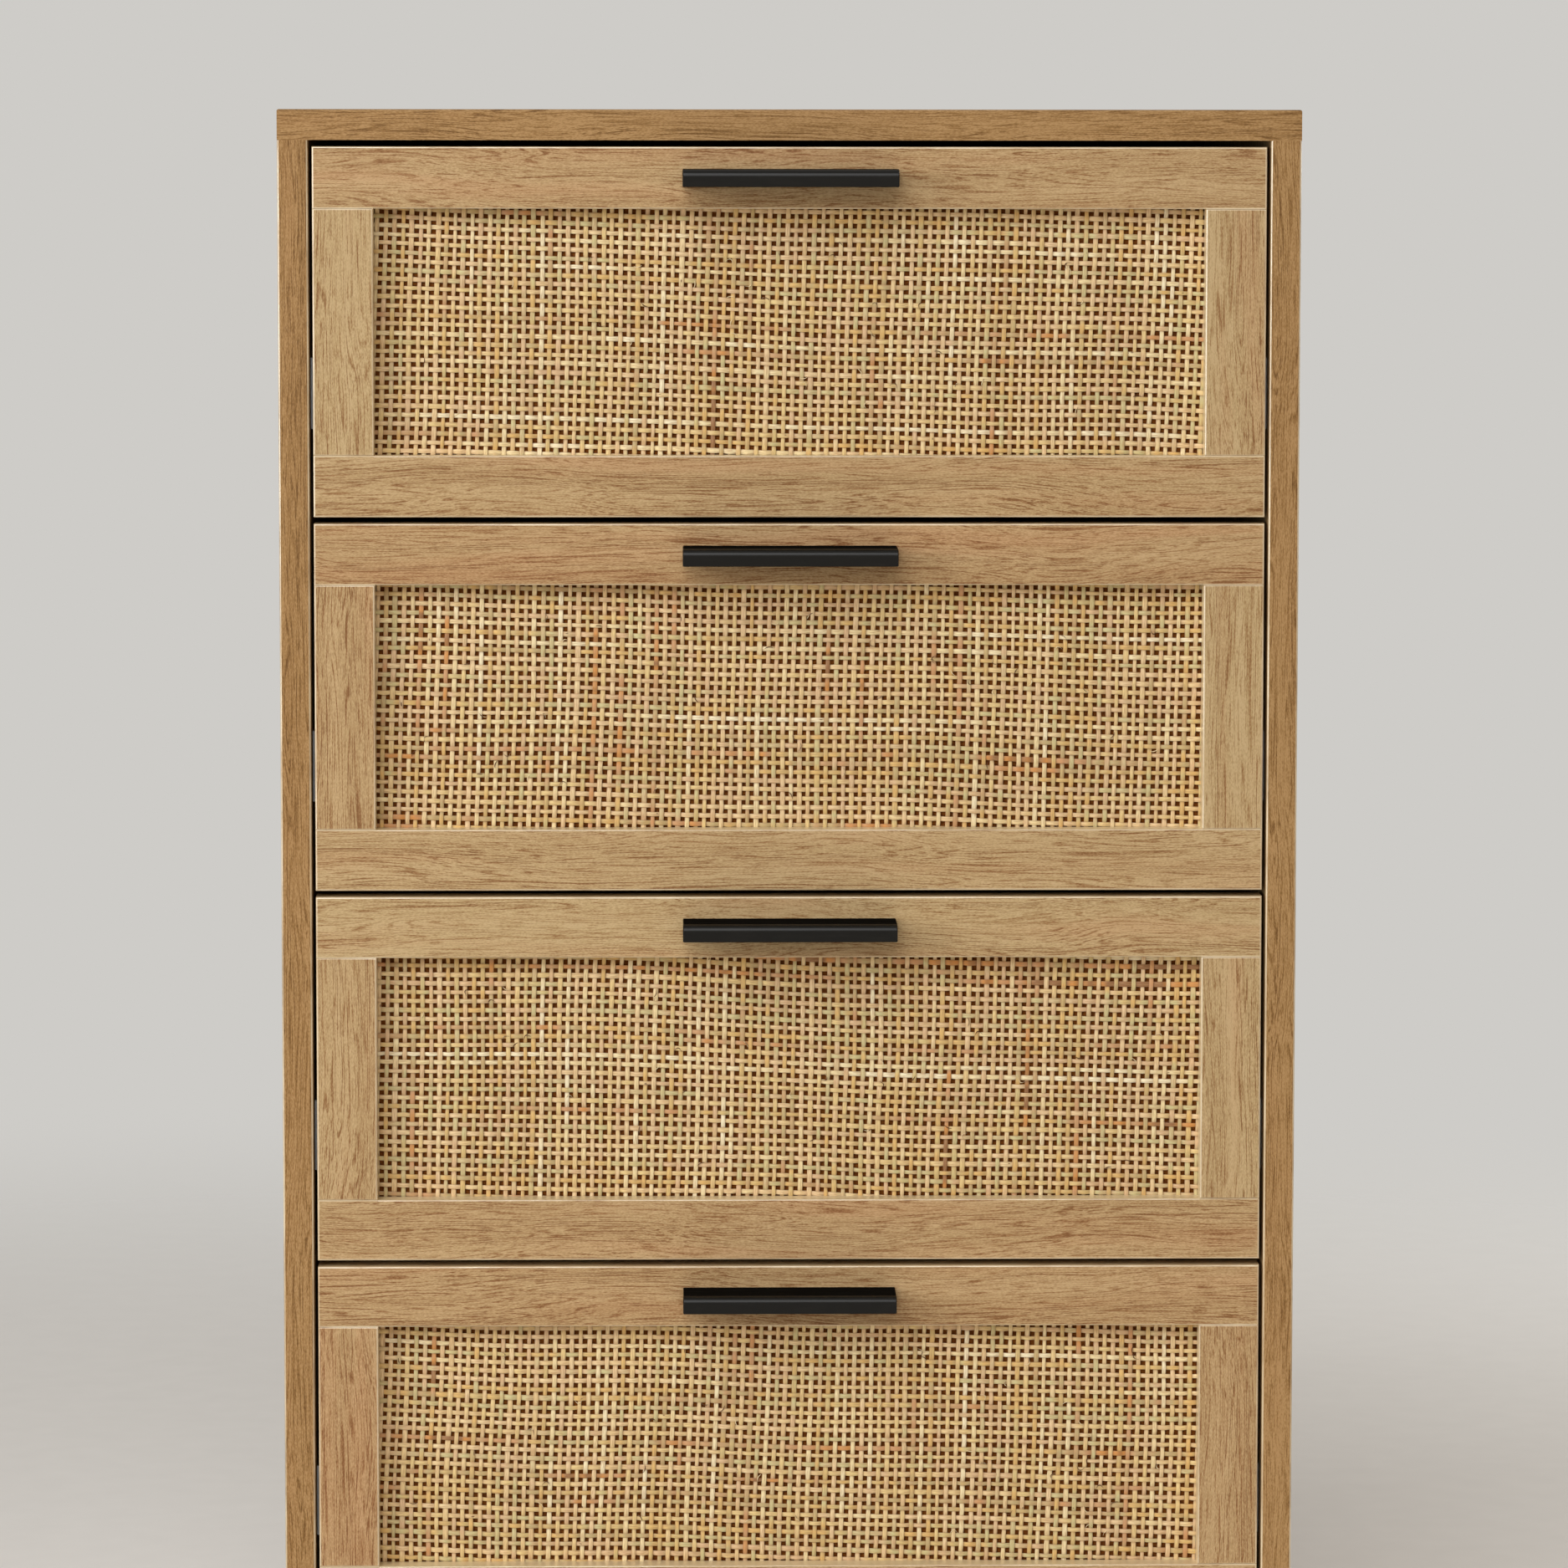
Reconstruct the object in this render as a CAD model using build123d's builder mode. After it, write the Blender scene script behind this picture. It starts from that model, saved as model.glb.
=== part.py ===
from build123d import *
import os

os.makedirs("parts", exist_ok=True)

# Chest of drawers with cane-webbed fronts, in millimetres
# The front looks towards -Y, +Z is up, and the origin is on the floor under the middle of the whole depth

# Cabinet
cabinet_width = 500
cabinet_depth = 400
board = 15
back_thickness = 3
back_rebate = 8
back_clearance = 0.5
plinth_height = 60
plinth_setback = 30
edge_round = 1

# Floor glides
glide_height = 5
glide_diameter = 13
glide_chamfer = 1.5
glide_inset = 35

# Loose tongues glued between the boards
tongue_thickness = 5
tongue_width = 18
tongue_inset = 40
plinth_tongue_inset = 10
tongue_clearance = 0.1

# Drawer fronts
drawer_count = 4
front_height = 180.9
front_thickness = 16
front_gap = 3.1
side_gap = 1.9
rail_height = 30.2
stile_width = 29.7
frame_round = 0.8
rabbet_width = 6.5

# Cane webbing and the panel behind it
webbing_recess = 11
strand_width = 2.15
strand_thickness = 0.8
upright_pitch = 4.32
level_pitch = 4.4
selvage = 5
webbing_clearance = 0.4
backing_thickness = 3

# Finger pull
handle_length = 105
handle_projection = 27
handle_height = 8.7
handle_top = 2.5
handle_lip = 3
handle_boss = 9
handle_nose_round = 3.6
handle_edge_round = 0.8
handle_end_chamfer = 0.4
handle_hole_spacing = 96
handle_thread = 3.3
handle_thread_depth = 12
handle_screw_hole = 4.5

# Drawer box
box_rear_clearance = 31
box_side_thickness = 12
box_side_height = 125
box_side_lift = 6
box_edge_chamfer = 1
box_back_thickness = 12
box_bottom_thickness = 3
box_bottom_lift = 8
groove_depth = 5
groove_clearance = 0.3

# Ball runners, a cabinet member with a drawer member inside it
runner_width = 10
runner_height = 35
runner_sheet = 1.2
runner_lip = 3.7
runner_edge_gap = 1
runner_setback = 2
runner_rear_gap = 8
runner_lift = 60
drawer_travel = 240
ball_diameter = 3.4
cage_wall = 0.7
running_clearance = 0.3

# Levels and places that follow from the sizes above
front_y = (handle_projection - cabinet_depth) / 2
rear_y = front_y + cabinet_depth
back_y = rear_y - back_thickness
inner_half_width = cabinet_width / 2 - board
bottom_panel_z = glide_height + plinth_height
lowest_front_z = bottom_panel_z + board + front_gap
front_pitch = front_height + front_gap
top_panel_z = lowest_front_z + drawer_count * front_pitch
plinth_rear_y = front_y + plinth_setback + board

front_width = 2 * (inner_half_width - side_gap)
opening_width = front_width - 2 * stile_width
opening_height = front_height - 2 * rail_height
seat_width = opening_width + 2 * rabbet_width
seat_height = opening_height + 2 * rabbet_width

box_half_width = inner_half_width - runner_width
box_inner_half = box_half_width - box_side_thickness
box_front_y = front_y + front_thickness
box_rear_y = back_y - box_rear_clearance
box_length = box_rear_y - box_front_y
runner_front_y = box_front_y + runner_setback
runner_length = box_length - runner_setback - runner_rear_gap
cage_length = runner_length - drawer_travel
cage_front_y = runner_front_y + drawer_travel / 2
bottom_lift = box_side_lift + box_bottom_lift
groove_height = box_bottom_thickness + groove_clearance
box_back_lift = bottom_lift + box_bottom_thickness

# Planes that look towards the front, so that sketches on them read as seen in use
front_plane = Plane.XZ.offset(-front_y)
front_back_plane = front_plane.offset(-front_thickness)
webbing_plane = front_plane.offset(-webbing_recess)
box_plane = Plane.XZ.offset(-box_front_y)
runner_plane = Plane.XZ.offset(-runner_front_y)
cage_plane = Plane.XZ.offset(-cage_front_y)


def save(piece, name):
    """Labels a finished piece and writes it as its own file."""
    piece.label = name
    export_step(piece, f"parts/{name}.step")


# Loose tongues: each plane lies in the middle of a joint, with x along the tongue and z across the joint
tongue_length = back_y - front_y - 2 * tongue_inset
plinth_tongue_length = plinth_height - 2 * plinth_tongue_inset
tongue_y = (front_y + back_y) / 2
top_joints = [
    Plane((side * (inner_half_width + board / 2), tongue_y, top_panel_z), x_dir=(0, 1, 0), z_dir=(0, 0, 1))
    for side in (-1, 1)
]
bottom_joints = [
    Plane((side * inner_half_width, tongue_y, bottom_panel_z + board / 2), x_dir=(0, 1, 0), z_dir=(side, 0, 0))
    for side in (-1, 1)
]
plinth_joints = [
    Plane(
        (side * inner_half_width, plinth_rear_y - board / 2, glide_height + plinth_height / 2),
        x_dir=(0, 0, 1),
        z_dir=(side, 0, 0),
    )
    for side in (-1, 1)
]


def cut_grooves(joints, length):
    """Cuts the half of each joint's groove that lies in the board being made."""
    with Locations(*joints):
        Box(
            length + 2 * tongue_clearance,
            tongue_thickness + 2 * tongue_clearance,
            tongue_width + 2 * tongue_clearance,
            mode=Mode.SUBTRACT,
        )


# Side panels, rebated behind for the back panel
with BuildPart() as right_side_panel:
    with BuildSketch(Plane.XY.offset(glide_height)):
        with Locations((inner_half_width, front_y)):
            Rectangle(board, cabinet_depth, align=Align.MIN)
        with Locations((inner_half_width, rear_y)):
            Rectangle(back_rebate, back_thickness, align=(Align.MIN, Align.MAX), mode=Mode.SUBTRACT)
    extrude(amount=top_panel_z - glide_height)
    fillet(right_side_panel.edges().filter_by(Axis.Z).group_by(Axis.Y)[0], edge_round)
    cut_grooves(top_joints + bottom_joints, tongue_length)
    cut_grooves(plinth_joints, plinth_tongue_length)

with BuildPart() as left_side_panel:
    mirror(right_side_panel.part, about=Plane.YZ)

save(right_side_panel.part, "right_side_panel")
save(left_side_panel.part, "left_side_panel")

# Top panel, lying on both sides, with its rear underside rebated for the back panel
with BuildPart() as top_panel:
    with BuildSketch(Plane.XY.offset(top_panel_z)):
        with Locations((0, front_y)):
            Rectangle(cabinet_width, cabinet_depth, align=(Align.CENTER, Align.MIN))
    extrude(amount=board)
    fillet(top_panel.faces().sort_by(Axis.Z)[-1].edges(), edge_round)
    with BuildSketch(Plane.XY.offset(top_panel_z)):
        with Locations((0, rear_y)):
            Rectangle(
                2 * (inner_half_width + back_rebate),
                back_thickness,
                align=(Align.CENTER, Align.MAX),
            )
    extrude(amount=back_rebate, mode=Mode.SUBTRACT)
    cut_grooves(top_joints, tongue_length)
save(top_panel.part, "top_panel")

# Bottom panel between the sides
with BuildPart() as bottom_panel:
    with BuildSketch(Plane.XY.offset(bottom_panel_z)):
        with Locations((0, front_y)):
            Rectangle(2 * inner_half_width, back_y - front_y, align=(Align.CENTER, Align.MIN))
    extrude(amount=board)
    fillet(bottom_panel.edges().filter_by(Axis.X).group_by(Axis.Y)[0], edge_round)
    cut_grooves(bottom_joints, tongue_length)
save(bottom_panel.part, "bottom_panel")

# Plinth board, set back under the bottom panel
with BuildPart() as plinth_board:
    with BuildSketch(Plane.XZ.offset(-plinth_rear_y)):
        with Locations((0, glide_height)):
            Rectangle(2 * inner_half_width, plinth_height, align=(Align.CENTER, Align.MIN))
    extrude(amount=board)
    cut_grooves(plinth_joints, plinth_tongue_length)
save(plinth_board.part, "plinth_board")

# Back panel in the rebates of the sides and the top
with BuildPart() as back_panel:
    with BuildSketch(Plane.XZ.offset(-rear_y)):
        with Locations((0, bottom_panel_z)):
            Rectangle(
                2 * (inner_half_width + back_rebate - back_clearance),
                top_panel_z + back_rebate - back_clearance - bottom_panel_z,
                align=(Align.CENTER, Align.MIN),
            )
    extrude(amount=back_thickness)
save(back_panel.part, "back_panel")

# Loose tongues, two for each pair of boards
with BuildPart() as joint_tongues:
    with Locations(*top_joints, *bottom_joints):
        Box(tongue_length, tongue_thickness, tongue_width)
    with Locations(*plinth_joints):
        Box(plinth_tongue_length, tongue_thickness, tongue_width)
save(joint_tongues.part, "joint_tongues")

# Floor glides, turned pads under the side panels
glide_middle = (0, (front_y + rear_y) / 2)

with BuildPart() as floor_glides:
    with Locations(glide_middle):
        with GridLocations(cabinet_width - board, cabinet_depth - 2 * glide_inset, 2, 2):
            Cylinder(glide_diameter / 2, glide_height, align=(Align.CENTER, Align.CENTER, Align.MIN))
    chamfer(floor_glides.faces().group_by(Axis.Z)[0].edges(), glide_chamfer)
save(floor_glides.part, "floor_glides")

# Drawers are numbered from the top, and each front's lower edge gives its level
front_levels = [lowest_front_z + (drawer_count - 1 - index) * front_pitch for index in range(drawer_count)]

# Runner sections, from the cabinet side inwards: cabinet member, cage, drawer member
runner_half_height = runner_height / 2
runner_edge_x = box_half_width + runner_edge_gap
cage_half_height = runner_half_height - runner_sheet - running_clearance
cage_back_x = inner_half_width - runner_sheet - running_clearance
cage_mouth_x = runner_edge_x + runner_sheet + running_clearance
member_half_height = cage_half_height - ball_diameter - running_clearance
member_tip_x = cage_back_x - cage_wall - running_clearance

# Cabinet members of the runners, bent from sheet and lipped to hold the balls
with BuildPart() as right_cabinet_runners:
    for front_z in front_levels:
        runner_low = front_z + runner_lift - runner_half_height
        runner_high = runner_low + runner_height
        with BuildSketch(runner_plane):
            with BuildLine():
                Polyline(
                    (runner_edge_x, runner_low + runner_lip),
                    (runner_edge_x, runner_low),
                    (inner_half_width, runner_low),
                    (inner_half_width, runner_high),
                    (runner_edge_x, runner_high),
                    (runner_edge_x, runner_high - runner_lip),
                )
                offset(amount=runner_sheet, side=Side.LEFT, kind=Kind.INTERSECTION)
            make_face()
    extrude(amount=-runner_length)

with BuildPart() as left_cabinet_runners:
    mirror(right_cabinet_runners.part, about=Plane.YZ)

save(right_cabinet_runners.part, "right_cabinet_runners")
save(left_cabinet_runners.part, "left_cabinet_runners")


# Drawer fronts: frames of two rails and two stiles round a panel of cane
rail_middle = front_height - rail_height / 2


def make_top_rail(front_z):
    """The upper board of a front, bored for the pull's screws and rabbeted behind for the webbing."""
    opening_top = front_z + front_height - rail_height
    with BuildPart() as top_rail:
        with BuildSketch(front_plane):
            with Locations((0, opening_top)):
                Rectangle(front_width, rail_height, align=(Align.CENTER, Align.MIN))
        extrude(amount=-front_thickness)
        fillet(top_rail.faces().sort_by(Axis.Y)[0].edges().sort_by(Axis.Z)[1:], frame_round)
        with BuildSketch(Plane.YZ.offset(-opening_width / 2)):
            with Locations((front_y, opening_top)):
                Rectangle(frame_round, frame_round, align=Align.MIN)
            with Locations((front_y + frame_round, opening_top + frame_round)):
                Circle(frame_round, mode=Mode.SUBTRACT)
        extrude(amount=opening_width, mode=Mode.SUBTRACT)
        with BuildSketch(front_back_plane):
            with Locations((0, opening_top)):
                Rectangle(seat_width, rabbet_width, align=(Align.CENTER, Align.MIN))
        extrude(amount=front_thickness - webbing_recess, mode=Mode.SUBTRACT)
        with BuildSketch(front_plane):
            with Locations((0, front_z + rail_middle)):
                with GridLocations(handle_hole_spacing, 0, 2, 1):
                    Circle(handle_screw_hole / 2)
        extrude(amount=-front_thickness, mode=Mode.SUBTRACT)
    return top_rail.part


def make_bottom_rail(front_z):
    """The lower board of a front, rabbeted behind for the webbing and grooved for the box bottom."""
    opening_low = front_z + rail_height
    with BuildPart() as bottom_rail:
        with BuildSketch(front_plane):
            with Locations((0, front_z)):
                Rectangle(front_width, rail_height, align=(Align.CENTER, Align.MIN))
        extrude(amount=-front_thickness)
        fillet(bottom_rail.faces().sort_by(Axis.Y)[0].edges().sort_by(Axis.Z)[:-1], frame_round)
        with BuildSketch(Plane.YZ.offset(-opening_width / 2)):
            with Locations((front_y, opening_low)):
                Rectangle(frame_round, frame_round, align=(Align.MIN, Align.MAX))
            with Locations((front_y + frame_round, opening_low - frame_round)):
                Circle(frame_round, mode=Mode.SUBTRACT)
        extrude(amount=opening_width, mode=Mode.SUBTRACT)
        with BuildSketch(front_back_plane):
            with Locations((0, opening_low)):
                Rectangle(seat_width, rabbet_width, align=(Align.CENTER, Align.MAX))
        extrude(amount=front_thickness - webbing_recess, mode=Mode.SUBTRACT)
        with BuildSketch(front_back_plane):
            with Locations((0, front_z + bottom_lift)):
                Rectangle(2 * (box_inner_half + groove_depth), groove_height, align=(Align.CENTER, Align.MIN))
        extrude(amount=groove_depth, mode=Mode.SUBTRACT)
    return bottom_rail.part


def make_stiles(front_z):
    """The two upright boards between the rails, eased along their front edges."""
    with BuildPart() as stiles:
        with BuildSketch(front_plane):
            with Locations((0, front_z + front_height / 2)):
                with GridLocations(front_width - stile_width, 0, 2, 1):
                    Rectangle(stile_width, opening_height)
        extrude(amount=-front_thickness)
        fillet(stiles.faces().group_by(Axis.Y)[0].edges(), frame_round)
        with BuildSketch(front_back_plane):
            with Locations((0, front_z + front_height / 2)):
                Rectangle(seat_width, opening_height)
        extrude(amount=front_thickness - webbing_recess, mode=Mode.SUBTRACT)
    return stiles.part


# Cane webbing: a layer of upright strands laid on a layer of level ones, each held by its selvage
webbing_width = seat_width - 2 * webbing_clearance
webbing_height = seat_height - 2 * webbing_clearance
gap_length = webbing_width - 2 * selvage
gap_height = webbing_height - 2 * selvage
upright_gaps = int(gap_length / upright_pitch)
level_gaps = int(gap_height / level_pitch)


def make_cane_webbing(front_z):
    """The strands of one front, upright ones before level ones, open between all of them."""
    middle = (0, front_z + front_height / 2)
    with BuildPart() as cane_webbing:
        with BuildSketch(webbing_plane):
            with Locations(middle):
                Rectangle(webbing_width, webbing_height)
                with GridLocations(upright_pitch, 0, upright_gaps, 1):
                    Rectangle(upright_pitch - strand_width, gap_height, mode=Mode.SUBTRACT)
        upright_strands = extrude(amount=-strand_thickness, mode=Mode.PRIVATE)
        with BuildSketch(webbing_plane.offset(-strand_thickness)):
            with Locations(middle):
                Rectangle(webbing_width, webbing_height)
                with GridLocations(0, level_pitch, 1, level_gaps):
                    Rectangle(gap_length, level_pitch - strand_width, mode=Mode.SUBTRACT)
        level_strands = extrude(amount=-strand_thickness, mode=Mode.PRIVATE)
    return Compound(children=[upright_strands, level_strands])


def make_backing_panel(front_z):
    """The thin panel that presses the webbing into the rabbet and closes the drawer behind it."""
    with BuildPart() as backing_panel:
        with BuildSketch(webbing_plane.offset(-2 * strand_thickness)):
            with Locations((0, front_z + front_height / 2)):
                Rectangle(webbing_width, webbing_height)
        extrude(amount=-backing_thickness)
    return backing_panel.part


def make_handle(front_z):
    """The cast finger pull: a ledge with a rounded nose, hollow below between two screw bosses."""
    handle_z = front_z + rail_middle
    with BuildPart() as handle:
        with BuildSketch(Plane.YZ.offset(-handle_length / 2)) as section:
            with Locations((front_y, handle_z)):
                Rectangle(handle_projection, handle_height, align=(Align.MAX, Align.CENTER))
            fillet(section.vertices().group_by(Axis.X)[0].sort_by(Axis.Y)[-1], handle_nose_round)
            fillet(section.vertices().sort_by(Axis.Y)[:2].sort_by(Axis.X)[0], handle_edge_round)
        extrude(amount=handle_length)
        end_edges = handle.faces().filter_by(Axis.X).edges()
        chamfer(end_edges.filter_by(lambda edge: edge.center().Y < front_y), handle_end_chamfer)
        with BuildSketch(Plane.XY.offset(handle_z - handle_height / 2)) as pocket:
            with Locations((0, front_y)):
                Rectangle(
                    handle_length - 2 * handle_boss,
                    handle_projection - handle_lip,
                    align=(Align.CENTER, Align.MAX),
                )
            fillet(pocket.vertices().group_by(Axis.Y)[0], handle_nose_round)
        extrude(amount=handle_height - handle_top, mode=Mode.SUBTRACT)
        with BuildSketch(front_plane):
            with Locations((0, handle_z)):
                with GridLocations(handle_hole_spacing, 0, 2, 1):
                    Circle(handle_thread / 2)
        extrude(amount=handle_thread_depth, mode=Mode.SUBTRACT)
    return handle.part


# Drawer boxes, open behind the front and above
def make_box_side(front_z, side):
    """A side board of the box, grooved along its inner face for the bottom."""
    side_low = front_z + box_side_lift
    inward = Align.MIN if side > 0 else Align.MAX
    with BuildPart() as box_side:
        with BuildSketch(box_plane):
            with Locations((side * box_inner_half, side_low)):
                Rectangle(box_side_thickness, box_side_height, align=(inward, Align.MIN))
            with Locations((side * box_inner_half, front_z + bottom_lift)):
                Rectangle(groove_depth, groove_height, align=(inward, Align.MIN), mode=Mode.SUBTRACT)
        extrude(amount=-box_length)
        chamfer(box_side.edges().filter_by(Axis.Y).group_by(Axis.Z)[-1], box_edge_chamfer)
    return box_side.part


def make_left_box_side(front_z):
    return make_box_side(front_z, -1)


def make_right_box_side(front_z):
    return make_box_side(front_z, 1)


def make_box_back(front_z):
    """The rear board of the box, standing on the bottom between the sides."""
    with BuildPart() as box_back:
        with BuildSketch(Plane.XZ.offset(-box_rear_y)):
            with Locations((0, front_z + box_back_lift)):
                Rectangle(
                    2 * box_inner_half,
                    box_side_lift + box_side_height - box_back_lift,
                    align=(Align.CENTER, Align.MIN),
                )
        extrude(amount=box_back_thickness)
        chamfer(box_back.edges().filter_by(Axis.X).group_by(Axis.Z)[-1], box_edge_chamfer)
    return box_back.part


def make_box_bottom(front_z):
    """The thin bottom, held in the grooves of both sides and of the bottom rail."""
    reach = groove_depth - groove_clearance
    with BuildPart() as box_bottom:
        with BuildSketch(Plane.XY.offset(front_z + bottom_lift)):
            with Locations((0, box_front_y - reach)):
                Rectangle(2 * (box_inner_half + reach), box_length + reach, align=(Align.CENTER, Align.MIN))
        extrude(amount=box_bottom_thickness)
    return box_bottom.part


def make_runners(front_z):
    """The drawer members of both runners, channels that open towards the cabinet sides."""
    level = front_z + runner_lift
    with BuildPart() as runners:
        with BuildSketch(runner_plane):
            with BuildLine():
                Polyline(
                    (member_tip_x, level - member_half_height),
                    (box_half_width, level - member_half_height),
                    (box_half_width, level + member_half_height),
                    (member_tip_x, level + member_half_height),
                )
                offset(amount=runner_sheet, side=Side.RIGHT, kind=Kind.INTERSECTION)
            make_face()
        extrude(amount=-runner_length)
        mirror(about=Plane.YZ)
    return runners.part


def make_ball_cages(front_z):
    """The ball cages of both runners, as solid strips of the balls' height joined by a thin web."""
    level = front_z + runner_lift
    cage_depth = cage_back_x - cage_mouth_x
    with BuildPart() as ball_cages:
        with BuildSketch(cage_plane):
            with Locations((cage_mouth_x, level)):
                Rectangle(cage_depth, 2 * cage_half_height, align=(Align.MIN, Align.CENTER))
                Rectangle(
                    cage_depth - cage_wall,
                    2 * (member_half_height + running_clearance),
                    align=(Align.MIN, Align.CENTER),
                    mode=Mode.SUBTRACT,
                )
        extrude(amount=-cage_length)
        mirror(about=Plane.YZ)
    return ball_cages.part


drawer_pieces = {
    "top_rail": make_top_rail,
    "bottom_rail": make_bottom_rail,
    "stiles": make_stiles,
    "cane_webbing": make_cane_webbing,
    "backing_panel": make_backing_panel,
    "handle": make_handle,
    "left_box_side": make_left_box_side,
    "right_box_side": make_right_box_side,
    "box_back": make_box_back,
    "box_bottom": make_box_bottom,
    "runners": make_runners,
    "ball_cages": make_ball_cages,
}

for number, front_z in enumerate(front_levels, start=1):
    for piece_name, make_piece in drawer_pieces.items():
        save(make_piece(front_z), f"drawer_{number}_{piece_name}")
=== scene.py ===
"""Chest of drawers with cane-webbed fronts: its finishes, woven cane, screws, light and camera."""
import math
import random

import bpy
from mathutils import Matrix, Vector


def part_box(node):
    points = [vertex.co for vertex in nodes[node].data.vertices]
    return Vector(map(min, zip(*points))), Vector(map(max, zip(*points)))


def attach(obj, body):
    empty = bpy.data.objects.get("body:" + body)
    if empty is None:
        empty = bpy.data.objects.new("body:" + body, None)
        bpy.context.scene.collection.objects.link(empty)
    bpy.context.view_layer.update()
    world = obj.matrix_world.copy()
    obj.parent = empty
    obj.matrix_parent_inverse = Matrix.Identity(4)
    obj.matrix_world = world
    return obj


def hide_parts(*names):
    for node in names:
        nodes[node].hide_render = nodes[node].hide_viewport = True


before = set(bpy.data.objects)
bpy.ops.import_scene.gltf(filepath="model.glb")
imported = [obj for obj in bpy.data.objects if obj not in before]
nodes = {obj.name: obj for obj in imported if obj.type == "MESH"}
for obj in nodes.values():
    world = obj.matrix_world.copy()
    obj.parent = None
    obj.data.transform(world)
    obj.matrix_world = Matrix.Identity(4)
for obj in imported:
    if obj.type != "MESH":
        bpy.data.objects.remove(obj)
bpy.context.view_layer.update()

# Sizes in metres, read from the frame where it has them
MM = 0.001
DRAWERS = (1, 2, 3, 4)
rail_low, rail_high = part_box("drawer_1_top_rail")
fronts_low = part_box("drawer_4_bottom_rail")[0].z
front_y = rail_low.y
front_rear_y = rail_high.y
front_half_width = rail_high.x
rail_height = rail_high.z - rail_low.z
front_height = rail_high.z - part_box("drawer_1_bottom_rail")[0].z
front_pitch = rail_high.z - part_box("drawer_2_top_rail")[1].z
STILE_WIDTH = 29.7 * MM
opening_half_width = front_half_width - STILE_WIDTH
opening_top = front_height - rail_height
pull_low, pull_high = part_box("drawer_4_handle")
pull_top = pull_high.z - fronts_low
pull_nose = pull_low.y
EDGE_DEPTH = 1.4 * MM
EDGE_ROUND = 1.0 * MM
FRAME_ROUND = 0.8 * MM
side_low, side_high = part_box("right_side_panel")
side_inner_x = side_low.x
side_outer_x = side_high.x


def srgb(red, green, blue):
    """A colour as a screen shows it, from 0 to 255, as the linear colour that a shader takes."""
    def linear(part):
        share = part / 255
        return share / 12.92 if share <= 0.04045 else ((share + 0.055) / 1.055) ** 2.4
    return (linear(red), linear(green), linear(blue), 1.0)


class Value:
    """A socket of a finish's node tree, for use in Python expressions."""

    def __init__(self, finish, socket):
        self.finish = finish
        self.socket = socket

    def output(self, name):
        return Value(self.finish, self.socket.node.outputs[name])

    def math(self, operation, *terms):
        return self.finish.node("Math", {"operation": operation}, dict(enumerate(terms)))

    def __add__(self, other):
        return self.math("ADD", self, other)

    def __radd__(self, other):
        return self.math("ADD", other, self)

    def __sub__(self, other):
        return self.math("SUBTRACT", self, other)

    def __rsub__(self, other):
        return self.math("SUBTRACT", other, self)

    def __mul__(self, other):
        return self.math("MULTIPLY", self, other)

    def __rmul__(self, other):
        return self.math("MULTIPLY", other, self)

    def __truediv__(self, other):
        return self.math("DIVIDE", self, other)

    def __mod__(self, other):
        return self.math("FLOORED_MODULO", self, other)

    def __gt__(self, other):
        return self.math("GREATER_THAN", self, other)

    def __lt__(self, other):
        return self.math("LESS_THAN", self, other)

    def __abs__(self):
        return self.math("ABSOLUTE", self)

    def floor(self):
        return self.math("FLOOR", self)

    def least(self, other):
        return self.math("MINIMUM", self, other)

    def most(self, other):
        return self.math("MAXIMUM", self, other)


class NodeTree:
    """A node tree that nodes are added to."""

    def __init__(self, tree):
        self.tree = tree

    def node(self, kind, settings=None, inputs=None, output=0):
        """Adds a node with its settings and its sockets' values or links, and gives one output."""
        made = self.tree.nodes.new("ShaderNode" + kind)
        for name, setting in (settings or {}).items():
            if name == "stops":
                self.set_stops(made.color_ramp.elements, setting)
            else:
                setattr(made, name, setting)
        for name, source in (inputs or {}).items():
            if isinstance(source, Value):
                self.tree.links.new(source.socket, made.inputs[name])
            else:
                made.inputs[name].default_value = source
        return Value(self, made.outputs[output])

    def set_stops(self, elements, stops):
        while len(elements) < len(stops):
            elements.new(1.0)
        for element, (position, colour) in zip(elements, stops):
            element.position = position
            element.color = colour


class Finish(NodeTree):
    """One procedural material with its coordinates and its shader."""

    def __init__(self, name, constants):
        self.material = bpy.data.materials.new(name)
        self.material.use_nodes = True
        super().__init__(self.material.node_tree)
        self.shader = self.tree.nodes["Principled BSDF"]
        for socket, number in constants.items():
            self.shader.inputs[socket].default_value = number
        self.place = self.node("TexCoord", output="Object")
        split = self.node("SeparateXYZ", inputs={"Vector": self.place})
        self.x = split.output("X")
        self.y = split.output("Y")
        self.z = split.output("Z")

    def feed(self, socket, value):
        self.tree.links.new(value.socket, self.shader.inputs[socket])

    def vector(self, operation, first, second):
        return self.node("VectorMath", {"operation": operation}, {0: first, 1: second})

    def stretch(self, vector, scale):
        return self.vector("MULTIPLY", vector, scale)

    def noise(self, vector, detail=2.0, roughness=0.5):
        inputs = {"Vector": vector, "Scale": 1.0, "Detail": detail, "Roughness": roughness}
        return self.node("TexNoise", None, inputs)

    def chance(self, number):
        """A random number from 0 to 1 for each whole number."""
        return self.node("TexWhiteNoise", {"noise_dimensions": "1D"}, {"W": number}, output="Value")

    def rise(self, value, low, high):
        """0 below low, 1 above high, and smooth between them."""
        limits = {"Value": value, "From Min": low, "From Max": high}
        return self.node("MapRange", {"interpolation_type": "SMOOTHSTEP"}, limits)

    def mix(self, share, first, second, blend="MIX"):
        settings = {"data_type": "RGBA", "blend_type": blend}
        return self.node("Mix", settings, {0: share, 6: first, 7: second}, output=2)

    def ramp(self, value, stops):
        return self.node("ValToRGB", {"stops": stops}, {"Fac": value})

    def bump(self, height, distance, strength=1.0):
        inputs = {"Height": height, "Distance": distance, "Strength": strength}
        self.feed("Normal", self.node("Bump", None, inputs))


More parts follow.
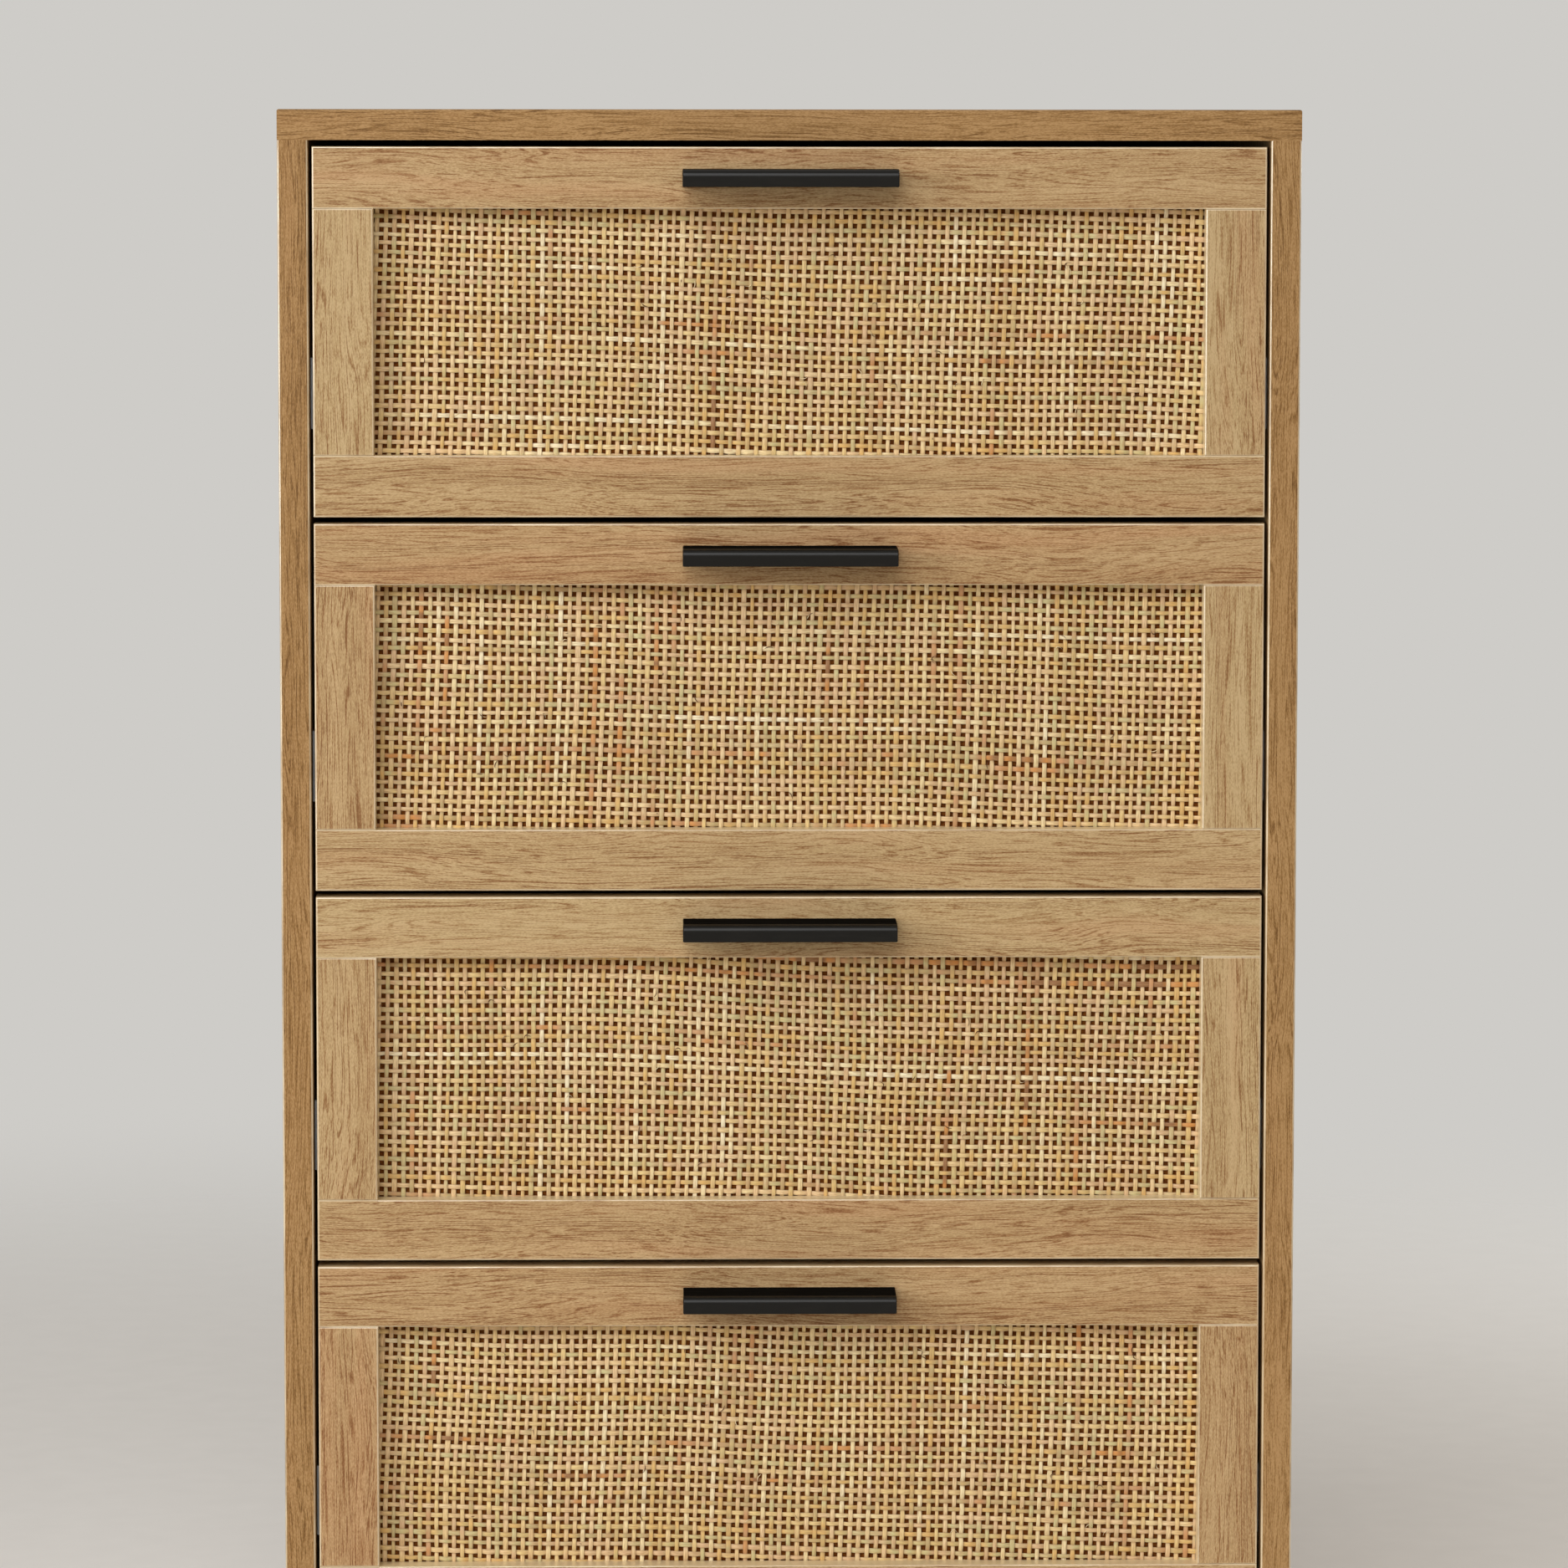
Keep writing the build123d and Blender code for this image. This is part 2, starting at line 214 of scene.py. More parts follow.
# Oak foil
OAK_TONES = (
    (0.00, srgb(134, 94, 54)),
    (0.30, srgb(162, 124, 80)),
    (0.60, srgb(180, 150, 105)),
    (0.80, srgb(190, 161, 115)),
    (1.00, srgb(202, 174, 130)),
)
BANDING_TONES = (
    (0.00, srgb(109, 74, 32)),
    (0.30, srgb(133, 96, 50)),
    (0.60, srgb(153, 115, 67)),
    (0.80, srgb(164, 126, 78)),
    (1.00, srgb(180, 142, 94)),
)
OAK_BLUSH = srgb(252, 232, 228)
OAK_PALE_EDGE_AND_HIGHLIGHT = srgb(230, 208, 166)
OAK_SHINE = {"Specular IOR Level": 0.3, "Coat IOR": 2.4, "Coat Roughness": 0.3}
GRAIN_ALONG = {"level": "x", "upright": "z", "deep": "y"}
GRAIN_WANDER = 16 * MM
GROWTH_LINES = 24.0
STILE_PATTERNS = 40.0
CARCASS_PATTERNS = 90.0
JOINT_NARROWING = 0.25 * MM
INNER_FACE = 0.3 * MM


def grain_scale(direction, along, across):
    """Noise cells per metre, few along the grain and many across it."""
    axis = GRAIN_ALONG[direction]
    return tuple(along if name == axis else across for name in "xyz")


def print_grain(finish, direction, board):
    """The foil's printed grain, from 0 in a dark pore to 1 in pale wood, and its slow change of hue."""
    offset = finish.node("TexWhiteNoise", {"noise_dimensions": "1D"}, {"W": board}, output="Color")
    place = finish.vector("ADD", finish.place, offset)
    wander = finish.noise(finish.stretch(place, grain_scale(direction, 7, 18)), detail=1.0)
    drift = finish.node("CombineXYZ", None, {name: (wander - 0.5) * GRAIN_WANDER for name in "XYZ"})
    place = finish.vector("ADD", place, drift)

    def streaks(along, across, detail):
        return finish.noise(finish.stretch(place, grain_scale(direction, along, across)), detail=detail)

    bands = streaks(1.6, 110, 4.0)
    zones = finish.rise(streaks(3, 130, 2.0), 0.34, 0.66)
    growth = (streaks(2.4, 80, 2.0) * GROWTH_LINES) % 1.0
    lines = 1.0 - finish.rise(abs(growth - 0.5), 0.05, 0.24)
    breaks = finish.rise(streaks(17, 1100, 1.0), 0.34, 0.62)
    pores = finish.rise(streaks(70, 2300, 1.0), 0.53, 0.68)
    speckle = streaks(700, 2400, 1.0)
    brown = finish.rise(finish.chance(board + 0.5), 0.4, 1.0)
    blush = finish.rise(streaks(4, 70, 2.0), 0.45, 0.75) + brown * 0.7
    dark = (lines * breaks).most(pores * 0.8) * (0.55 + zones * 0.25)
    tone = bands * 0.8 + speckle * 1.2 - dark - brown * 0.12 - 0.1
    return tone, blush


def grain_colour(finish, tone, blush, tones):
    return finish.mix(blush * 0.5, finish.ramp(tone, tones), OAK_BLUSH, blend="MULTIPLY")


def finish_oak(finish, colour, tone):
    pale = finish.rise(tone, 0.0, 0.5)
    finish.feed("Base Color", colour)
    finish.feed("Roughness", 0.6 - pale * 0.16)
    finish.bump(pale, 0.06 * MM)


def wear_and_highlight_edges(finish, colour, distance):
    """A pale line along a board's rounded edges, partly foil stretched thin and rubbed, partly a painted
    highlight, with the coat there rubbed shiny.
    """
    broken = finish.noise(finish.stretch(finish.place, (22, 22, 22)), detail=5.0, roughness=0.6)
    wear_and_highlight_share = finish.rise(broken, 0.36, 0.6)
    line = finish.rise(0.0 - distance, -1.0 * MM, -0.6 * MM)
    finish.feed("Coat Weight", line * (0.5 + wear_and_highlight_share * 0.5))
    # Pale colour on the rounded edges: partly rubbed foil, partly a painted highlight of light caught by
    # the rounding
    return finish.mix(line * (0.35 + wear_and_highlight_share * 0.45), colour, OAK_PALE_EDGE_AND_HIGHLIGHT)


def front_board_finish(name, direction):
    """The foil of the drawer fronts, with a pattern of its own on each board."""
    finish = Finish(name, OAK_SHINE)
    level = (finish.z - fronts_low) / front_pitch
    height = (finish.z - fronts_low) % front_pitch
    width = abs(finish.x)
    joints = abs(height - rail_height).least(abs(height - opening_top)) + JOINT_NARROWING
    outer = front_half_width - width
    if direction == "level":
        board = (level * 2.0).floor()
        distance = joints.least(outer).least(height).least(abs(front_height - height))
        inner_face = joints < JOINT_NARROWING + INNER_FACE
    else:
        board = level.floor() * 2.0 + (finish.x > 0.0) + STILE_PATTERNS
        inner = width - opening_half_width
        distance = joints.least(outer).least(abs(inner))
        inner_face = abs(inner) < INNER_FACE
    tone, blush = print_grain(finish, direction, board)
    colour = grain_colour(finish, tone, blush, OAK_TONES)
    # Pale inner faces of the opening: partly bare board edge, partly a painted highlight where light
    # falls on them
    behind = finish.rise(finish.y, front_y + 0.3 * MM, front_y + FRAME_ROUND)
    colour = finish.mix(inner_face * behind * 0.9, colour, OAK_PALE_EDGE_AND_HIGHLIGHT)
    colour = wear_and_highlight_edges(finish, colour, distance)
    finish_oak(finish, colour, tone)
    return finish.material


def carcass_finish(name, direction):
    """The foil of the cabinet's boards, with browner edge banding along the front."""
    finish = Finish(name, OAK_SHINE)
    board = (finish.z * 10.0).floor() if direction == "level" else finish.x > 0.0
    tone, blush = print_grain(finish, direction, board + CARCASS_PATTERNS)
    foil = grain_colour(finish, tone, blush, OAK_TONES)
    edging = grain_colour(finish, tone, blush * 0.3, BANDING_TONES)
    banding = finish.rise(0.0 - finish.y, -front_y - EDGE_DEPTH, -front_y - 0.6 * EDGE_DEPTH)
    colour = finish.mix(banding, foil, edging)
    if direction == "upright":
        width = abs(finish.x)
        to_corner = abs(width - side_outer_x).least(abs(width - side_inner_x))
        colour = wear_and_highlight_edges(finish, colour, to_corner.most(finish.y - front_y - EDGE_ROUND))
    finish_oak(finish, colour, tone)
    return finish.material


# Cane
CANE_TONES = (
    (0.00, srgb(252, 238, 200)),
    (0.16, srgb(242, 220, 166)),
    (0.30, srgb(236, 204, 158)),
    (0.42, srgb(234, 206, 142)),
    (0.54, srgb(224, 188, 146)),
    (0.64, srgb(208, 198, 144)),
    (0.74, srgb(228, 186, 114)),
    (0.82, srgb(196, 176, 126)),
    (0.90, srgb(206, 156, 112)),
    (0.96, srgb(214, 146, 74)),
    (1.00, srgb(148, 104, 66)),
)
CANE_FIBRE = srgb(186, 144, 98)
CANE_PAINTED_SHADE = srgb(150, 104, 62)
CANE_KNOT = srgb(92, 54, 28)
UPRIGHT_PITCH = 4.29 * MM
LEVEL_PITCH = 4.38 * MM
STRAND_WIDTH = 2.18 * MM
WEAVE_PLACE = "weave_place"
DRAWER_KEY_STEP = 157.0
UPRIGHT_SEED = 500.0
LEVEL_SEED = 900.0
weave_low, weave_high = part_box("drawer_1_cane_webbing")
weave_middle_y = (weave_low.y + weave_high.y) / 2


def cane_finish(name, across, pitch, along, seed):
    """Split cane: each strand has its own tone, which drifts along it, with fibres, dark knots, and
    painted shade at strand edges and where strands pass under.
    """
    finish = Finish(name, {"Specular IOR Level": 0.4})
    place = finish.node("Attribute", {"attribute_name": WEAVE_PLACE}, output="Vector")
    split = finish.node("SeparateXYZ", None, {"Vector": place})
    drawer = (split.output("Y") + 0.5).floor()
    strand_place = split.output(across) / pitch
    run = split.output(along)
    key = strand_place.floor() + drawer * DRAWER_KEY_STEP + seed
    length_key = finish.node("CombineXYZ", None, {"X": key * 3.7, "Y": run * 14.0})
    drift = finish.noise(length_key, detail=4.0, roughness=0.65)
    tone = 0.04 + finish.chance(key) * 0.76 + (drift - 0.45) * 1.2
    colour = finish.ramp(tone, CANE_TONES)
    fibre_place = finish.node("CombineXYZ", None, {"X": split.output(across) * 2600.0, "Y": run * 190.0})
    fibre = finish.noise(fibre_place, detail=2.0)
    colour = finish.mix(finish.rise(fibre, 0.42, 0.66) * 0.55, colour, CANE_FIBRE)
    # Painted shade towards each strand's edges, partly the darker split edge of the cane itself
    middle = abs((strand_place % 1.0) - 0.5) * (2 * pitch / STRAND_WIDTH)
    colour = finish.mix(finish.rise(middle, 0.6, 1.0) * 0.4, colour, CANE_PAINTED_SHADE)
    # Painted shade where a strand dips under a crossing strand
    under = finish.rise(finish.y, weave_middle_y - 0.45 * MM, weave_middle_y + 0.35 * MM)
    colour = finish.mix(under * 0.38, colour, CANE_PAINTED_SHADE)
    knot_key = {"X": key * 5.3, "Y": run * 150.0, "Z": strand_place * 2.0}
    knot_place = finish.node("CombineXYZ", None, knot_key)
    knot = finish.rise(finish.noise(knot_place, detail=2.0), 0.74, 0.78)
    colour = finish.mix(knot * 0.85, colour, CANE_KNOT)
    finish.feed("Base Color", colour)
    finish.feed("Roughness", 0.42 + fibre * 0.2)
    finish.bump(fibre, 0.05 * MM)
    return finish.material


# Other finishes
def hardboard_finish(name, pale, dark):
    """Pressed fibre board with a fine uneven fleck."""
    finish = Finish(name, {"Specular IOR Level": 0.1})
    fleck = finish.noise(finish.stretch(finish.place, (900, 900, 900)), detail=3.0, roughness=0.7)
    cloud = finish.noise(finish.stretch(finish.place, (14, 14, 14)), detail=2.0)
    share = finish.rise(fleck * 0.94 + cloud * 0.06, 0.36, 0.64)
    finish.feed("Base Color", finish.mix(share, dark, pale))
    finish.feed("Roughness", 0.62 + fleck * 0.2)
    finish.bump(fleck, 0.08 * MM)
    return finish.material


def drawer_board_finish(name):
    """Paler foil on the drawer boxes, with fine grain from front to rear."""
    finish = Finish(name, {"Specular IOR Level": 0.3})
    tone, blush = print_grain(finish, "deep", (finish.x > 0.0) + (finish.z * 10.0).floor())
    colour = grain_colour(finish, tone, blush, OAK_TONES)
    finish_oak(finish, finish.mix(0.5, colour, srgb(214, 190, 150)), tone)
    return finish.material


def black_metal_finish(name):
    """Satin black coat with a fine orange peel, rubbed dull on top behind the nose."""
    finish = Finish(name, {"Specular IOR Level": 0.0, "Coat IOR": 1.31, "Coat Roughness": 0.22})
    peel = finish.noise(finish.stretch(finish.place, (1500, 1500, 1500)), detail=1.0)
    dust = finish.noise(finish.stretch(finish.place, (60, 300, 300)), detail=3.0)
    height = (finish.z - fronts_low) % front_pitch
    on_top = finish.rise(height, pull_top - 0.4 * MM, pull_top - 0.05 * MM)
    dull = on_top * finish.rise(finish.y, pull_nose + 1.5 * MM, pull_nose + 4 * MM)
    colour = finish.mix(finish.rise(dust, 0.4, 0.8), srgb(21, 19, 16), srgb(27, 25, 22))
    finish.feed("Base Color", colour)
    finish.feed("Roughness", 0.5 + dust * 0.1)
    finish.feed("Coat Weight", (1.0 - dull) * (1.0 - dust * 0.2))
    finish.bump(peel, 0.02 * MM)
    return finish.material


def steel_finish(name):
    """Zinc-plated sheet, drawn along its length."""
    finish = Finish(name, {"Metallic": 1.0})
    drawn = finish.noise(finish.stretch(finish.place, (2400, 30, 2400)), detail=2.0)
    cloud = finish.noise(finish.stretch(finish.place, (60, 20, 60)), detail=2.0)
    finish.feed("Base Color", finish.mix(cloud, srgb(176, 180, 184), srgb(205, 207, 208)))
    finish.feed("Roughness", 0.26 + drawn * 0.16)
    finish.bump(drawn, 0.01 * MM)
    return finish.material


def plastic_finish(name, light, dark):
    """Moulded plastic with a fine matt texture."""
    finish = Finish(name, {"Specular IOR Level": 0.4})
    grain = finish.noise(finish.stretch(finish.place, (2200, 2200, 2200)), detail=2.0)
    cloud = finish.noise(finish.stretch(finish.place, (90, 90, 90)), detail=2.0)
    finish.feed("Base Color", finish.mix(cloud, dark, light))
    finish.feed("Roughness", 0.5 + grain * 0.15)
    finish.bump(grain, 0.02 * MM)
    return finish.material


def bare_wood_finish(name):
    """Unfinished wood of the loose tongues."""
    finish = Finish(name, {"Specular IOR Level": 0.25})
    grain = finish.noise(finish.stretch(finish.place, (700, 25, 700)), detail=3.0)
    colour = finish.mix(finish.rise(grain, 0.35, 0.7), srgb(214, 184, 138), srgb(186, 150, 104))
    finish.feed("Base Color", colour)
    finish.feed("Roughness", 0.7 + grain * 0.1)
    return finish.material


def dress(node, material):
    """Gives a node of the frame its finish."""
    mesh = nodes[node].data
    mesh.materials.clear()
    mesh.materials.append(material)


rail_oak = front_board_finish("rail_oak", "level")
stile_oak = front_board_finish("stile_oak", "upright")
side_oak = carcass_finish("side_oak", "upright")
level_oak = carcass_finish("level_oak", "level")
backing_brown = hardboard_finish("backing_brown", srgb(122, 66, 14), srgb(90, 46, 9))
back_brown = hardboard_finish("back_brown", srgb(150, 112, 74), srgb(118, 82, 50))
drawer_oak = drawer_board_finish("drawer_oak")
drawer_base = hardboard_finish("drawer_base", srgb(206, 180, 138), srgb(184, 154, 110))
black_coat = black_metal_finish("black_coat")
zinc = steel_finish("zinc")
cage_white = plastic_finish("cage_white", srgb(226, 226, 222), srgb(206, 206, 200))
glide_brown = plastic_finish("glide_brown", srgb(58, 48, 42), srgb(42, 34, 30))
tongue_wood = bare_wood_finish("tongue_wood")

cabinet_finishes = {
    "left_side_panel": side_oak,
    "right_side_panel": side_oak,
    "top_panel": level_oak,
    "bottom_panel": level_oak,
    "plinth_board": level_oak,
    "back_panel": back_brown,
    "floor_glides": glide_brown,
    "joint_tongues": tongue_wood,
    "left_cabinet_runners": zinc,
    "right_cabinet_runners": zinc,
}
drawer_finishes = {
    "top_rail": rail_oak,
    "bottom_rail": rail_oak,
    "stiles": stile_oak,
    "backing_panel": backing_brown,
    "handle": black_coat,
    "left_box_side": drawer_oak,
    "right_box_side": drawer_oak,
    "box_back": drawer_oak,
    "box_bottom": drawer_base,
    "runners": zinc,
    "ball_cages": cage_white,
}
for node, material in cabinet_finishes.items():
    dress(node, material)
for number in DRAWERS:
    for piece, material in drawer_finishes.items():
        dress(f"drawer_{number}_{piece}", material)


# Modelling helpers
def select_only(piece):
    bpy.ops.object.select_all(action="DESELECT")
    piece.select_set(True)
    bpy.context.view_layer.objects.active = piece


def edit(piece, element, chosen):
    """Opens a piece in edit mode with just the vertices or edges selected that pass a test."""
    select_only(piece)
    bpy.ops.object.mode_set(mode="EDIT")
    bpy.ops.mesh.select_mode(type=element)
    bpy.ops.mesh.select_all(action="DESELECT")
    bpy.ops.object.mode_set(mode="OBJECT")
    mesh = piece.data
    for part in mesh.vertices if element == "VERT" else mesh.edges:
        part.select = chosen(part)
    bpy.ops.object.mode_set(mode="EDIT")


def cut_along(piece, length, steps):
    """Cuts those edges of a piece into steps that rise further than a length."""
    ends = piece.data.vertices

    def is_tall(edge):
        first, second = edge.vertices
        return abs(ends[first].co.z - ends[second].co.z) > length

    edit(piece, "EDGE", is_tall)
    bpy.ops.mesh.subdivide(number_cuts=steps - 1)
    bpy.ops.object.mode_set(mode="OBJECT")


def apply_modifier(piece, kind, **settings):
    select_only(piece)
    modifier = piece.modifiers.new(kind.lower(), kind)
    for name, setting in settings.items():
        setattr(modifier, name, setting)
    bpy.ops.object.modifier_apply(modifier=modifier.name)


def settle(piece):
    """Puts a piece's place, turn and size into its mesh."""
    select_only(piece)
    bpy.ops.object.transform_apply(location=True, rotation=True, scale=True)


def join(pieces, name):
    bpy.ops.object.select_all(action="DESELECT")
    for piece in pieces:
        piece.select_set(True)
    bpy.context.view_layer.objects.active = pieces[0]
    bpy.ops.object.join()
    pieces[0].name = name
    pieces[0].data.name = name
    return pieces[0]


def copy_of(piece, offset):
    """A moved copy of a piece with a mesh of its own."""
    select_only(piece)
    bpy.ops.object.duplicate(linked=False)
    copy = bpy.context.object
    copy.location = offset
    settle(copy)
    return copy


# Woven cane
STRAND_SIDES = 5
STRAND_THICKNESS = 0.8 * MM
WEAVE_HEIGHT = 0.42 * MM
STEPS = 6
UPRIGHT_STRANDS = 102
LEVEL_STRANDS = 38
WEAVE_TURN = math.radians(1.5)
WEAVE_CREASE = math.radians(70)
MERGE_DISTANCE = 0.01 * MM
STRAND_SHIFT = 1.3 * MM
STRAND_SHIFT_SIZE = 5 * MM
STRAND_SHIFT_STRETCH = 40
SIDEWAYS_DRIFT = 3 * MM
SIDEWAYS_DRIFT_SIZE = 110 * MM
LEVEL_DRIFT = 5 * MM
LEVEL_DRIFT_SIZE = 150 * MM
DRAWER_NOISE_STEP = 0.7


def model_strand(name, pitch):
    """Two crossings of one strand, running along Z and bowed towards -Y where it passes over."""
    bpy.ops.object.select_all(action="DESELECT")
    bpy.ops.mesh.primitive_cylinder_add(
        vertices=STRAND_SIDES, radius=1.0, depth=2 * pitch, end_fill_type="NOTHING",
        rotation=(0, 0, math.pi),
    )
    strand = bpy.context.object
    strand.name = name
    settle(strand)
    width = max(v.co.x for v in strand.data.vertices) * 2
    thickness = max(v.co.y for v in strand.data.vertices) - min(v.co.y for v in strand.data.vertices)
    strand.scale = (STRAND_WIDTH / width, STRAND_THICKNESS / thickness, 1)
    settle(strand)
    cut_along(strand, pitch, STEPS)
    for step in range(STEPS + 1):
        level = pitch * (2 * step / STEPS - 1)
        edit(strand, "VERT", lambda vertex: abs(vertex.co.z - level) < pitch / STEPS)
        rise = -WEAVE_HEIGHT * math.cos(math.pi * level / pitch)
        bpy.ops.transform.translate(value=(0, rise, 0))
        bpy.ops.object.mode_set(mode="OBJECT")
    return strand


def weave_layer(name, strand, pitch_along, pitch_across, crossings, strands, material):
    """A layer of strands along Z, with every other one a crossing further on, centred on the origin."""
    apply_modifier(
        strand, "ARRAY", count=crossings // 2 + 1, use_relative_offset=False, use_constant_offset=True,
        constant_offset_displace=(0, 0, 2 * pitch_along), use_merge_vertices=True,
        merge_threshold=MERGE_DISTANCE,
    )
    layer = join([strand, copy_of(strand, (pitch_across, 0, -pitch_along))], name)
    apply_modifier(
        layer, "ARRAY", count=strands // 2, use_relative_offset=False, use_constant_offset=True,
        constant_offset_displace=(2 * pitch_across, 0, 0), use_merge_vertices=False,
    )
    layer.location = (-(strands - 1) / 2 * pitch_across, 0, -(crossings - 1) / 2 * pitch_along)
    settle(layer)
    layer.data.materials.append(material)
    return layer


def shift_strands(layer, number, axis, noise_size, strength, scale):
    """Moves a drawer's strands along an axis by smooth noise, which may be drawn out."""
    texture = bpy.data.textures.new("strand_shift", "CLOUDS")
    texture.noise_scale = noise_size
    texture.noise_depth = 1
    guide = bpy.data.objects.new("strand_guide", None)
    bpy.context.scene.collection.objects.link(guide)
    guide.scale = scale
    guide.location = (0, number * DRAWER_NOISE_STEP, 0)
    bpy.context.view_layer.update()
    apply_modifier(
        layer, "DISPLACE", texture=texture, texture_coords="OBJECT", texture_coords_object=guide,
        direction=axis, mid_level=0.5, strength=strength,
    )
    bpy.data.objects.remove(guide)
    bpy.data.textures.remove(texture)


def trim(piece, corner, outward):
    """Cuts off what lies beyond a plane and closes the cut ends."""
    edit(piece, "VERT", lambda vertex: True)
    bpy.ops.mesh.bisect(plane_co=corner, plane_no=outward, clear_outer=True, use_fill=True)
    bpy.ops.object.mode_set(mode="OBJECT")


def remember_place(layer, number):
    """Keeps each point's place in its layer, with the drawer's number as its depth."""
    places = [part for vertex in layer.data.vertices for part in (vertex.co.x, number, vertex.co.z)]
    kept = layer.data.attributes.new(WEAVE_PLACE, "FLOAT_VECTOR", "POINT")
    kept.data.foreach_set("vector", places)


def weave_cane():
    """The even webbing that each drawer's is copied from, as an upright and a level layer."""
    upright_strand = model_strand("upright_strand", LEVEL_PITCH)
    upright = weave_layer(
        "upright_layer", upright_strand, LEVEL_PITCH, UPRIGHT_PITCH, LEVEL_STRANDS, UPRIGHT_STRANDS,
        cane_finish("upright_cane", "X", UPRIGHT_PITCH, "Z", UPRIGHT_SEED),
    )
    level_strand = model_strand("level_strand", UPRIGHT_PITCH)
    level = weave_layer(
        "level_layer", level_strand, UPRIGHT_PITCH, LEVEL_PITCH, UPRIGHT_STRANDS, LEVEL_STRANDS,
        cane_finish("level_cane", "Z", LEVEL_PITCH, "X", LEVEL_SEED),
    )
    level.rotation_euler = (0, math.pi / 2, 0)
    settle(level)
    return upright, level


def fit_cane(number, layers):
    """One drawer's webbing: shifted, turned a little, trimmed to its rabbet and put in its place."""
    low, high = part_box(f"drawer_{number}_cane_webbing")
    upright, level = [copy_of(layer, (0, 0, 0)) for layer in layers]
    for layer in (upright, level):
        remember_place(layer, number)
    shift_strands(upright, number, "X", STRAND_SHIFT_SIZE, STRAND_SHIFT, (1, 1, STRAND_SHIFT_STRETCH))
    shift_strands(level, number, "Z", STRAND_SHIFT_SIZE, STRAND_SHIFT, (STRAND_SHIFT_STRETCH, 1, 1))
    weave = join([upright, level], f"drawer_{number}_cane_weave")
    shift_strands(weave, number, "X", SIDEWAYS_DRIFT_SIZE, SIDEWAYS_DRIFT, (1, 1, 1))
    shift_strands(weave, number, "Z", LEVEL_DRIFT_SIZE, LEVEL_DRIFT, (1, 1, 1))
    weave.rotation_euler = (0, WEAVE_TURN, 0)
    weave.location = (low + high) / 2
    settle(weave)
    trim(weave, low, (-1, 0, 0))
    trim(weave, low, (0, 0, -1))
    trim(weave, high, (1, 0, 0))
    trim(weave, high, (0, 0, 1))
    select_only(weave)
    bpy.ops.object.shade_smooth_by_angle(angle=WEAVE_CREASE)
    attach(weave, f"drawer_{number}")
    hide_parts(f"drawer_{number}_cane_webbing")


layers = weave_cane()
for number in DRAWERS:
    fit_cane(number, layers)
for layer in layers:
    bpy.data.objects.remove(layer)

# Loose fibres of the cane
FIBRES = 44
FIBRE_LENGTH = 4 * MM
FIBRE_RADIUS = 0.21 * MM
FIBRE_STEPS = 6
FIBRE_TAPER = 0.6
FIBRE_TILT = 0.12
FIBRE_MARGIN = 20 * MM
FIBRE_LIFT = 0.1 * MM
fibre_chance = random.Random(3646)


def model_fibre(name, curl):
    """A split fibre along Z, curled towards +X, with its ends drawn in."""
    bpy.ops.object.select_all(action="DESELECT")
    bpy.ops.mesh.primitive_cylinder_add(vertices=4, radius=FIBRE_RADIUS, depth=FIBRE_LENGTH)
    fibre = bpy.context.object
    fibre.name = name
    cut_along(fibre, FIBRE_LENGTH / 2, FIBRE_STEPS)
    for step in range(FIBRE_STEPS + 1):
        share = 2 * step / FIBRE_STEPS - 1
        level = share * FIBRE_LENGTH / 2
        edit(fibre, "VERT", lambda vertex: abs(vertex.co.z - level) < FIBRE_LENGTH / FIBRE_STEPS / 2)
        girth = 1 - FIBRE_TAPER * share * share
        bpy.ops.transform.resize(value=(girth, girth, 1))
        bpy.ops.transform.translate(value=(curl * share * share, 0, 0))
        bpy.ops.object.mode_set(mode="OBJECT")
    return fibre


def scatter_fibres(number, kinds, material):
    """Fibres that have split off one drawer's strands and lie on its webbing."""
    low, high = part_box(f"drawer_{number}_cane_webbing")
    fibres = []
    for _ in range(FIBRES):
        x = fibre_chance.uniform(low.x + FIBRE_MARGIN, high.x - FIBRE_MARGIN)
        z = fibre_chance.uniform(low.z + FIBRE_MARGIN, high.z - FIBRE_MARGIN)
        fibre = copy_of(fibre_chance.choice(kinds), (0, 0, 0))
        tilt = fibre_chance.uniform(-FIBRE_TILT, FIBRE_TILT)
        fibre.rotation_euler = (tilt, fibre_chance.uniform(0, math.tau), 0)
        fibre.location = (x, low.y - FIBRE_LIFT, z)
        settle(fibre)
        fibres.append(fibre)
    piece = join(fibres, f"drawer_{number}_cane_fibres")
    piece.data.materials.append(material)
    select_only(piece)
    bpy.ops.object.shade_smooth()
    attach(piece, f"drawer_{number}")


def fibre_finish(name):
    """Loose fibres, pale on some patches of the webbing and dark on others."""
    finish = Finish(name, {"Specular IOR Level": 0.3})
    place = finish.noise(finish.stretch(finish.place, (55, 55, 55)), detail=1.0)
    along = finish.noise(finish.stretch(finish.place, (600, 600, 600)), detail=2.0)
    tone = finish.rise(place + (along - 0.5) * 0.3, 0.46, 0.54)
    finish.feed("Base Color", finish.mix(tone, srgb(88, 52, 26), srgb(240, 220, 176)))
    finish.feed("Roughness", 0.5 + along * 0.2)
    return finish.material


fibre_kinds = [model_fibre("straight_fibre", 0.6 * MM), model_fibre("curled_fibre", 2 * MM)]
fibre_cane = fibre_finish("fibre_cane")
for number in DRAWERS:
    scatter_fibres(number, fibre_kinds, fibre_cane)
for kind in fibre_kinds:
    bpy.data.objects.remove(kind)

# Screws
SCREW_SIDES = 20
SCREW_DOME = 0.6
SCREW_CREASE = math.radians(40)
SLOT_LENGTH = 0.5
SLOT_WIDTH = 0.13
SLOT_DEPTH = 1.3 * MM


